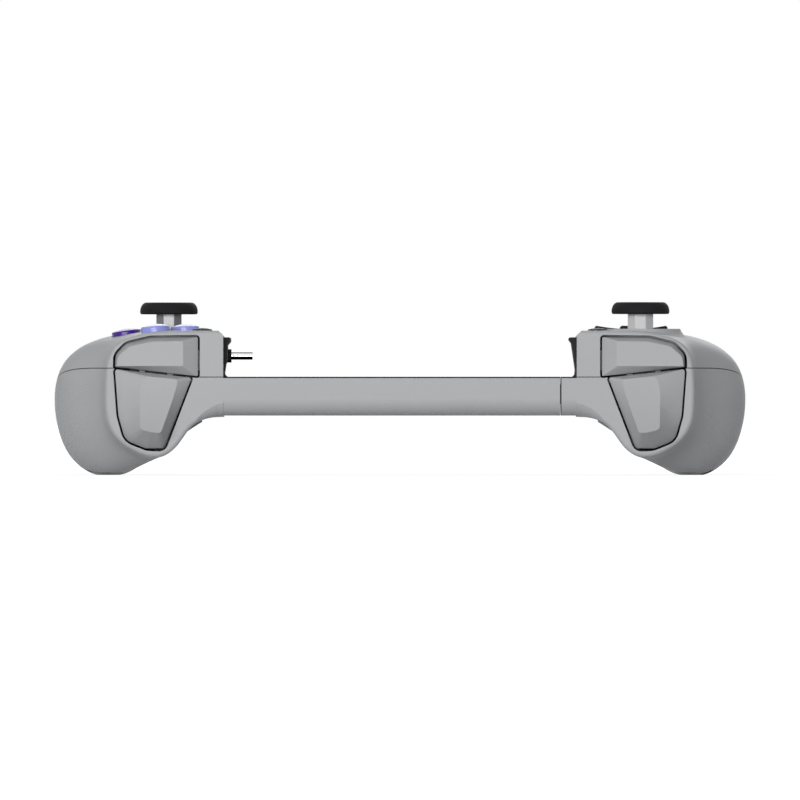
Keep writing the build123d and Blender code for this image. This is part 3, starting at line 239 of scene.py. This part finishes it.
def moulded(name, colour, rough=0.5, change=0.025, grip_ribs=False, gaps=True, shine=0.30,
            reach=GAP_SHADE_REACH):
    """Moulded plastic with a spark-eroded grain and slightly rounded edges, painted shade in its
    narrow gaps if wanted, and ribs on the outer sides of the grips."""
    kit = Nodes(name)
    tint = finish(kit, colour, change, 14 * MM, rough, 0.05)
    # Painted shade: with gaps on, the colour falls to near black in narrow gaps.
    if gaps:
        paint_gap_shade(kit, tint, reach)
    else:
        kit.colour(tint)
    texture = kit.noise(GRAIN, detail=3.0, roughness=0.6)
    softened = kit.add("ShaderNodeBevel", samples=4)
    softened.inputs["Radius"].default_value = SOFT_EDGE
    last = kit.bump(texture.outputs["Fac"], 0.30, GRAIN_LIFT, softened)
    if grip_ribs:
        place = kit.position()
        side = kit.maths("ABSOLUTE", place.outputs["X"])
        slant = kit.maths("ADD", kit.maths("MULTIPLY", side, RIB_LEAN_X), place.outputs["Z"])
        slant = kit.maths("ADD", slant, kit.maths("MULTIPLY", place.outputs["Y"], RIB_LEAN_Y))
        wave = kit.maths("SINE", kit.maths("MULTIPLY", slant, 2 * math.pi / RIB_PITCH))
        outer = mask(kit, side, *RIBS_OUT)
        lower = mask(kit, place.outputs["Z"], *RIBS_LOW)
        behind = mask(kit, place.outputs["Y"], *RIBS_BACK)
        height = kit.maths("MULTIPLY", kit.maths("MULTIPLY", wave, outer),
                           kit.maths("MULTIPLY", lower, behind))
        last = kit.bump(height, RIB_STRENGTH, RIB_LIFT, last)
    kit.link(last, "Normal", kit.shader, "Normal")
    kit.shader.inputs["Specular IOR Level"].default_value = shine
    return kit.material


def mask(kit, value, start, full):
    """0 up to start and 1 from full on, with a smooth step between, in either direction."""
    node = kit.add("ShaderNodeMapRange", interpolation_type="SMOOTHSTEP")
    node.inputs["From Min"].default_value = min(start, full)
    node.inputs["From Max"].default_value = max(start, full)
    node.inputs["To Min"].default_value = 0.0 if start < full else 1.0
    node.inputs["To Max"].default_value = 1.0 if start < full else 0.0
    kit.tree.links.new(value, node.inputs["Value"])
    return node.outputs["Result"]


def glossy(name, colour, rough, coat=0.0, change=0.05, shine=0.5):
    """Smooth plastic with faint ripples from the mould and light handling marks, painted shade in
    its narrow gaps, and a clear coat if wanted."""
    kit = Nodes(name)
    tint = finish(kit, colour, change, 5 * MM, rough, 0.04)
    # Painted shade: near black in the narrow gaps round the piece.
    paint_gap_shade(kit, tint, BUTTON_GAP_SHADE_REACH)
    ripple = kit.noise(RIPPLE, detail=1.0)
    scuff = kit.noise(SCUFF, detail=4.0, roughness=0.7)
    first = kit.bump(ripple.outputs["Fac"], FAINT, RIPPLE_LIFT)
    second = kit.bump(scuff.outputs["Fac"], FAINT, SCUFF_LIFT, first)
    kit.link(second, "Normal", kit.shader, "Normal")
    kit.shader.inputs["Coat Weight"].default_value = coat
    kit.shader.inputs["Coat Roughness"].default_value = 0.08
    kit.shader.inputs["Specular IOR Level"].default_value = shine
    return kit.material


def rubbery(name, colour, rough=0.72):
    """Rubber: a fine pebbled skin with a slight bloom, and painted shade in its gaps."""
    kit = Nodes(name)
    tint = finish(kit, colour, 0.25, 3 * MM, rough, 0.06)
    # Painted shade: near black in the gaps round the piece.
    paint_gap_shade(kit, tint, RUBBER_GAP_SHADE_REACH)
    pebble = kit.add("ShaderNodeTexVoronoi")
    pebble.inputs["Scale"].default_value = 1 / PEBBLE
    kit.link(kit.place, "Object", pebble, "Vector")
    fine = kit.noise(RUBBER_GRAIN, detail=3.0)
    first = kit.bump(pebble.outputs["Distance"], 0.35, PEBBLE_LIFT)
    second = kit.bump(fine.outputs["Fac"], 0.25, GRAIN_LIFT, first)
    kit.link(second, "Normal", kit.shader, "Normal")
    kit.shader.inputs["Specular IOR Level"].default_value = 0.12
    return kit.material


def metal(name, colour, rough=0.3, depth=0.12, painted_dark_edges=False):
    """Drawn or turned metal with fine marks along X. It gets painted shade where it lies deep in a
    closed room, or else a painted dark reflection on its rounded edges above and below."""
    kit = Nodes(name)
    tint = finish(kit, colour, 0.06, 4 * MM, rough, 0.06)
    if painted_dark_edges:
        # Painted dark reflection on the edges that face up and down.
        rise = kit.facing().outputs["Z"]
        start, end = PLUG_UPPER_PAINTED_EDGE
        upper = kit.maths("MULTIPLY", mask(kit, rise, *start), mask(kit, rise, *end))
        edges = kit.maths("MAXIMUM", upper, mask(kit, rise, *PLUG_LOWER_PAINTED_EDGE))
        kit.colour(kit.blend(edges, tint, BLACK))
    else:
        # Painted shade reaching deep into the closed room.
        paint_gap_shade(kit, tint, ROOM_SHADE_REACH)
    stretch = kit.add("ShaderNodeMapping")
    stretch.inputs["Scale"].default_value = (0.08, 1.0, 1.0)
    kit.link(kit.place, "Object", stretch, "Vector")
    lines = kit.add("ShaderNodeTexNoise")
    lines.inputs["Scale"].default_value = 1 / STREAK
    lines.inputs["Detail"].default_value = 3.0
    kit.link(stretch, "Vector", lines, "Vector")
    marks = kit.bump(lines.outputs["Fac"], depth, SCUFF_LIFT)
    kit.link(marks, "Normal", kit.shader, "Normal")
    kit.shader.inputs["Metallic"].default_value = 1.0
    return kit.material


def faceted(name, colour, painted_shade):
    """Satin plastic of the stick posts, with painted shade: their slanting flats are darker than
    the front ones, more so on the stick at -X."""
    kit = Nodes(name)
    tint = finish(kit, colour, 0.02, 4 * MM, 0.3, 0.04)
    side = kit.maths("ABSOLUTE", kit.facing().outputs["X"])
    start, end = SLANT_SHADE_RANGE
    slant_shade_mask = kit.maths("MULTIPLY", mask(kit, side, *start), mask(kit, side, *end))
    place = kit.position()
    raised = mask(kit, place.outputs["Z"], *POST_SHOWS_ABOVE)
    raised = kit.maths("MULTIPLY", raised, mask(kit, place.outputs["X"], *POST_SHADE_ACROSS))
    # Painted shade on the slanting flats of the raised post, stronger towards -X.
    kit.colour(kit.blend(kit.maths("MULTIPLY", slant_shade_mask, raised), tint, painted_shade))
    scuff = kit.noise(SCUFF, detail=4.0, roughness=0.7)
    kit.link(kit.bump(scuff.outputs["Fac"], FAINT, SCUFF_LIFT), "Normal", kit.shader, "Normal")
    kit.shader.inputs["Specular IOR Level"].default_value = 0.3
    return kit.material


def circuit(name, colour):
    """Solder mask with copper tracks showing faintly through it."""
    kit = Nodes(name)
    place = kit.position()
    turn = 2 * math.pi
    across = kit.maths("SINE", kit.maths("MULTIPLY", place.outputs["X"], turn / TRACKS_ACROSS))
    along = kit.maths("SINE", kit.maths("MULTIPLY", place.outputs["Y"], turn / TRACKS_ALONG))
    tracks = kit.maths("MAXIMUM", across, along)
    darker, lighter = shades(colour, 0.35)
    ramp = kit.add("ShaderNodeValToRGB")
    for element, at, tone in zip(ramp.color_ramp.elements, (0.86, 0.93), (darker, lighter)):
        element.position = at
        element.color = (*tone, 1.0)
    kit.tree.links.new(tracks, ramp.inputs["Fac"])
    kit.colour(ramp.outputs["Color"])
    kit.link(kit.bump(tracks, 0.2, TRACK_LIFT), "Normal", kit.shader, "Normal")
    kit.shader.inputs["Roughness"].default_value = 0.35
    return kit.material


materials = {
    "body_grey": moulded("body_grey", BODY_GREY, grip_ribs=True),
    "bridge_grey": moulded("bridge_grey", BRIDGE_GREY),
    "trim_black": moulded("trim_black", TRIM_BLACK, rough=0.62, change=0.2, gaps=False, shine=0.10),
    "cap_rubber": rubbery("cap_rubber", RUBBER_BLACK),
    "pad_rubber": rubbery("pad_rubber", PAD_BLACK),
    "membrane_rubber": rubbery("membrane_rubber", SILICONE, rough=0.5),
    "button_deep_purple": glossy("button_deep_purple", DEEP_PURPLE, rough=0.22, shine=0.3),
    "button_lavender": glossy("button_lavender", LAVENDER, rough=0.22, shine=0.3),
    "button_black": glossy("button_black", BLACK, rough=0.5, shine=0.12),
    "pad_black_gloss": glossy("pad_black_gloss", BLACK, rough=0.5, shine=0.12),
    "stick_post_grey": faceted("stick_post_grey", POST_GREY, POST_PAINTED_SHADE),
    # The inner white plastic gets painted shade over a long reach, so it is dark deep inside the
    # shells.
    "white_plastic": moulded("white_plastic", WHITE_PLASTIC, reach=ROOM_SHADE_REACH),
    "tongue_dark": moulded("tongue_dark", TONGUE_GREY, rough=0.4, change=0.08, gaps=False),
    "circuit_board": circuit("circuit_board", BOARD_GREEN),
    "ribbon_brown": glossy("ribbon_brown", RIBBON_AMBER, rough=0.3, coat=0.2),
    "steel": metal("steel", STEEL),
    "spring_steel": metal("spring_steel", STEEL, rough=0.22),
    "plug_chrome": metal("plug_chrome", NICKEL, rough=0.12, depth=0.05, painted_dark_edges=True),
}
for row in frame["record"]["subparts"]:
    mesh = nodes[row["node"]].data
    mesh.materials.clear()
    mesh.materials.append(materials[row["material_slot"]])


# Turned pieces: a closed profile of radius and height, swept round an upright axis

SHARP_ANGLE = math.radians(38)


def lathe_piece(name, profile, segments, surface, body, replaced, move=None, shift=None):
    """profile runs from the axis, round the outside and back to the axis; shift(angle, radius,
    height) returns the radius of a point, and move turns and places the finished mesh."""
    mesh = bpy.data.meshes.new(name)
    shape = bmesh.new()
    rings = []
    for radius, height in profile[1:-1]:
        ring = []
        for step in range(segments):
            angle = 2 * math.pi * step / segments
            reach = shift(angle, radius, height) if shift else radius
            ring.append(shape.verts.new((reach * math.cos(angle), reach * math.sin(angle), height)))
        rings.append(ring)
    for first, second in zip(rings, rings[1:]):
        for step in range(segments):
            after = (step + 1) % segments
            shape.faces.new((first[step], first[after], second[after], second[step]))
    for end, ring in ((profile[0], rings[0]), (profile[-1], rings[-1])):
        middle = shape.verts.new((0, 0, end[1]))
        for step in range(segments):
            shape.faces.new((ring[step], ring[(step + 1) % segments], middle))
    bmesh.ops.recalc_face_normals(shape, faces=shape.faces[:])
    if move:
        bmesh.ops.transform(shape, matrix=move, verts=shape.verts[:])
    shape.to_mesh(mesh)
    shape.free()
    mesh.shade_smooth()
    mesh.materials.append(materials[surface])
    piece = bpy.data.objects.new(name, mesh)
    bpy.context.scene.collection.objects.link(piece)
    edges = piece.modifiers.new("crisp_edges", "EDGE_SPLIT")
    edges.split_angle = SHARP_ANGLE
    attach(piece, body)
    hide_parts(replaced)


def arc(centre_r, centre_z, radius_r, radius_z, start, end, steps):
    points = []
    for step in range(steps + 1):
        angle = math.radians(start + (end - start) * step / steps)
        points.append((centre_r + radius_r * math.cos(angle),
                       centre_z + radius_z * math.sin(angle)))
    return points


# Triggers and bumpers stand a little further inside their openings, so that the gaps read as lines

GAP_SHRINK = 0.15 * MM
CREASE_ANGLE = math.radians(12)
for name in ("trigger_right", "trigger_left", "bumper_right", "bumper_left"):
    weld = nodes[name].modifiers.new("weld", "WELD")
    weld.merge_threshold = 0.002 * MM
    shrink = nodes[name].modifiers.new("shrink", "DISPLACE")
    shrink.mid_level = 0
    shrink.strength = -GAP_SHRINK
    crease = nodes[name].modifiers.new("crease", "EDGE_SPLIT")
    crease.split_angle = CREASE_ANGLE


# Stick caps: rubber discs with a rounded side, a knurled lower band and a dished top

CAP_SEGMENTS = 288
KNURL_COUNT = 72
KNURL_DEPTH = 0.09 * MM
KNURL_ROW = 0.62 * MM
CAP_DISH = 0.9 * MM
CAP_SHOULDER = 0.75 * MM
CAP_LOWER_ROUND = 0.55 * MM
CAP_UPPER_ROUND = 2.0 * MM
CAP_SOCKET_RADIUS = 2.9 * MM
CAP_SOCKET_DEPTH = 1.6 * MM
KNURL_REACH = 1.0 * MM
KNURL_BELOW = 0.3 * MM
INSIDE_BOX = 0.02 * MM
CROWN_STEPS = 12


def stick_cap(side):
    low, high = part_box("stick_cap_" + side)
    x = (low.x + high.x) / 2
    y = (low.y + high.y) / 2
    bottom = low.z
    top = high.z
    radius = (high.x - low.x) / 2 - INSIDE_BOX
    shoulder = bottom + CAP_SHOULDER
    rim_radius = radius - CAP_UPPER_ROUND
    lower = arc(radius - CAP_LOWER_ROUND, shoulder, CAP_LOWER_ROUND, shoulder - bottom, -90, 0, 5)
    upper = arc(rim_radius, shoulder, radius - rim_radius, top - shoulder, 0, 90, 18)[1:]
    crown = []
    for step in range(1, CROWN_STEPS + 1):
        share = step / CROWN_STEPS
        dip = CAP_DISH * math.sin(share * math.pi / 2) ** 2
        crown.append((rim_radius * (1 - share), top - dip))
    socket_top = bottom + CAP_SOCKET_DEPTH
    profile = [(0, socket_top), (CAP_SOCKET_RADIUS, socket_top), (CAP_SOCKET_RADIUS, bottom)]
    profile += lower + upper + crown
    band_top = shoulder + 2 * KNURL_ROW

    def knurl(angle, reach, height):
        if reach < radius - KNURL_REACH or not shoulder - KNURL_BELOW < height < band_top:
            return reach
        wave = math.cos(KNURL_COUNT * angle + math.pi * height / KNURL_ROW)
        cross = math.cos(KNURL_COUNT * angle - math.pi * height / KNURL_ROW)
        fade = min(1.0, (band_top - height) / KNURL_ROW)
        return reach - KNURL_DEPTH * fade * (1 - max(wave, cross)) / 2

    lathe_piece("stick_cap_top_" + side, profile, CAP_SEGMENTS, "cap_rubber", "stick_" + side,
                "stick_cap_" + side, Matrix.Translation((x, y, 0)), knurl)


for side in ("right", "left"):
    stick_cap(side)


# Face buttons: glossy domes on flanged stems, each tilted with the face below it

BUTTON_SEGMENTS = 96
BUTTON_RADIUS = 4.45 * MM
BUTTON_FLANGE = 5.1 * MM
BUTTON_STEM = 2.5 * MM
BUTTON_DOME = 0.65 * MM
BUTTON_EDGE = 0.5 * MM
BUTTON_SKIRT = 4.9 * MM
FLANGE_THICKNESS = 1.0 * MM
DOME_STEPS = 10
BUTTON_TILTS = {"outer": 8.0, "front": 4.5, "back": 4.5, "inner": 2.0}
BUTTON_SLOTS = {"outer": "button_deep_purple", "back": "button_deep_purple",
                "front": "button_lavender", "inner": "button_lavender"}
BUTTON_CENTRE = (-77.1 * MM, -20.0 * MM)
BUTTON_SPACING = 9.4 * MM
BUTTON_TOPS = {"outer": 46.1 * MM, "front": 47.5 * MM, "back": 47.5 * MM, "inner": 47.5 * MM}
BUTTON_STEPS = {"outer": (-1, 0), "front": (0, -1), "back": (0, 1), "inner": (1, 0)}


def dressed_button(name):
    across, along = BUTTON_STEPS[name]
    place = (BUTTON_CENTRE[0] + across * BUTTON_SPACING, BUTTON_CENTRE[1] + along * BUTTON_SPACING,
             BUTTON_TOPS[name])
    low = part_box("face_button_" + name)[0]
    stem_end = low.z - place[2] + INSIDE_BOX
    edge_radius = BUTTON_RADIUS - BUTTON_EDGE
    profile = [(0, stem_end), (BUTTON_STEM, stem_end), (BUTTON_STEM, -BUTTON_SKIRT),
               (BUTTON_FLANGE, -BUTTON_SKIRT), (BUTTON_FLANGE, FLANGE_THICKNESS - BUTTON_SKIRT),
               (BUTTON_RADIUS, FLANGE_THICKNESS - BUTTON_SKIRT),
               (BUTTON_RADIUS, -BUTTON_DOME - BUTTON_EDGE)]
    profile += arc(edge_radius, -BUTTON_DOME - BUTTON_EDGE, BUTTON_EDGE, BUTTON_EDGE, 0, 80, 8)[1:]
    for step in range(1, DOME_STEPS + 1):
        share = step / DOME_STEPS
        profile.append((edge_radius * (1 - share), -BUTTON_DOME * (1 - share) ** 2))
    move = Matrix.Translation(place) @ Matrix.Rotation(-math.radians(BUTTON_TILTS[name]), 4, "Y")
    lathe_piece("button_cap_" + name, profile, BUTTON_SEGMENTS, BUTTON_SLOTS[name],
                "face_button_" + name + "_body", "face_button_" + name, move)


for name in BUTTON_TILTS:
    dressed_button(name)


# Camera: level with the object's middle, far away, looking along +Y

FRAME_WIDTH = 251.2 * MM
FRONT_PLANE = -43 * MM
CAMERA_DISTANCE = 9.0
CAMERA_HEIGHT = 23.6 * MM
camera_data = bpy.data.cameras.new("camera")
camera_data.sensor_width = 36
camera_data.lens = camera_data.sensor_width * CAMERA_DISTANCE / FRAME_WIDTH
camera_data.clip_end = 60
camera = bpy.data.objects.new("camera", camera_data)
camera.location = (0, FRONT_PLANE - CAMERA_DISTANCE, CAMERA_HEIGHT)
camera.rotation_euler = (math.radians(90), 0, 0)
bpy.context.scene.collection.objects.link(camera)
bpy.context.scene.camera = camera


# Studio: a white floor and sky for the eye, a grey sky and soft lamps for the light

def lamp(name, place, width, height, power):
    data = bpy.data.lights.new(name, "AREA")
    data.shape = "RECTANGLE"
    data.size = width
    data.size_y = height
    data.energy = power
    item = bpy.data.objects.new(name, data)
    item.location = place
    toward = Vector((0, 0, CAMERA_HEIGHT)) - Vector(place)
    item.rotation_euler = toward.to_track_quat("-Z", "Y").to_euler()
    bpy.context.scene.collection.objects.link(item)


lamp("key_lamp", (-0.55, -1.90, 0.22), 1.3, 0.6, 26.0)
lamp("front_lamp", (0.15, -2.2, 0.10), 0.8, 0.8, 6.0)
lamp("back_lamp", (0.2, 1.7, 1.0), 1.2, 1.2, 9.0)
SKY_LIGHT = 0.27

world = bpy.data.worlds.new("studio")
bpy.context.scene.world = world
world.use_nodes = True
tree = world.node_tree
tree.nodes.clear()


def seen_rays(tree):
    """A value of 1 for rays from the eye, mirrors and glass, 0 for rays that light things."""
    path = tree.nodes.new("ShaderNodeLightPath")
    first = tree.nodes.new("ShaderNodeMath")
    first.operation = "MAXIMUM"
    tree.links.new(path.outputs["Is Camera Ray"], first.inputs[0])
    tree.links.new(path.outputs["Is Glossy Ray"], first.inputs[1])
    second = tree.nodes.new("ShaderNodeMath")
    second.operation = "MAXIMUM"
    tree.links.new(first.outputs[0], second.inputs[0])
    tree.links.new(path.outputs["Is Transmission Ray"], second.inputs[1])
    return second.outputs[0]


sky_out = tree.nodes.new("ShaderNodeOutputWorld")
sky = tree.nodes.new("ShaderNodeBackground")
sky.inputs["Color"].default_value = (1, 1, 1, 1)
level = tree.nodes.new("ShaderNodeMapRange")
level.inputs["To Min"].default_value = SKY_LIGHT
level.inputs["To Max"].default_value = 1.0
tree.links.new(seen_rays(tree), level.inputs["Value"])
tree.links.new(level.outputs["Result"], sky.inputs["Strength"])
tree.links.new(sky.outputs["Background"], sky_out.inputs["Surface"])

FLOOR_HALF = 20.0
FLOOR_GREY = (0.48, 0.48, 0.48, 1)
FLOOR_GLOW = 0.80
SHADOW_REACH = 0.16
floor_mesh = bpy.data.meshes.new("floor")
floor_mesh.from_pydata([(-FLOOR_HALF, -FLOOR_HALF, 0), (FLOOR_HALF, -FLOOR_HALF, 0),
                        (FLOOR_HALF, FLOOR_HALF, 0), (-FLOOR_HALF, FLOOR_HALF, 0)],
                       [], [(0, 1, 2, 3)])
floor = bpy.data.objects.new("floor", floor_mesh)
bpy.context.scene.collection.objects.link(floor)
paint = bpy.data.materials.new("floor")
paint.use_nodes = True
tree = paint.node_tree
tree.nodes.clear()
floor_out = tree.nodes.new("ShaderNodeOutputMaterial")
matt = tree.nodes.new("ShaderNodeBsdfDiffuse")
matt.inputs["Color"].default_value = FLOOR_GREY
glow = tree.nodes.new("ShaderNodeEmission")
glow_level = tree.nodes.new("ShaderNodeMath")
glow_level.operation = "MULTIPLY"
floor_place = tree.nodes.new("ShaderNodeTexCoord")
from_middle = tree.nodes.new("ShaderNodeVectorMath")
from_middle.operation = "LENGTH"
tree.links.new(floor_place.outputs["Object"], from_middle.inputs[0])
fading = tree.nodes.new("ShaderNodeMapRange")
fading.inputs["From Min"].default_value = SHADOW_REACH
fading.inputs["From Max"].default_value = 3 * SHADOW_REACH
fading.inputs["To Min"].default_value = FLOOR_GLOW
fading.inputs["To Max"].default_value = 1.0
tree.links.new(from_middle.outputs["Value"], fading.inputs["Value"])
tree.links.new(fading.outputs["Result"], glow_level.inputs[1])
tree.links.new(seen_rays(tree), glow_level.inputs[0])
tree.links.new(glow_level.outputs[0], glow.inputs["Strength"])
both = tree.nodes.new("ShaderNodeAddShader")
tree.links.new(matt.outputs["BSDF"], both.inputs[0])
tree.links.new(glow.outputs["Emission"], both.inputs[1])
tree.links.new(both.outputs["Shader"], floor_out.inputs["Surface"])
floor_mesh.materials.append(paint)

bpy.context.scene.view_settings.view_transform = "Standard"
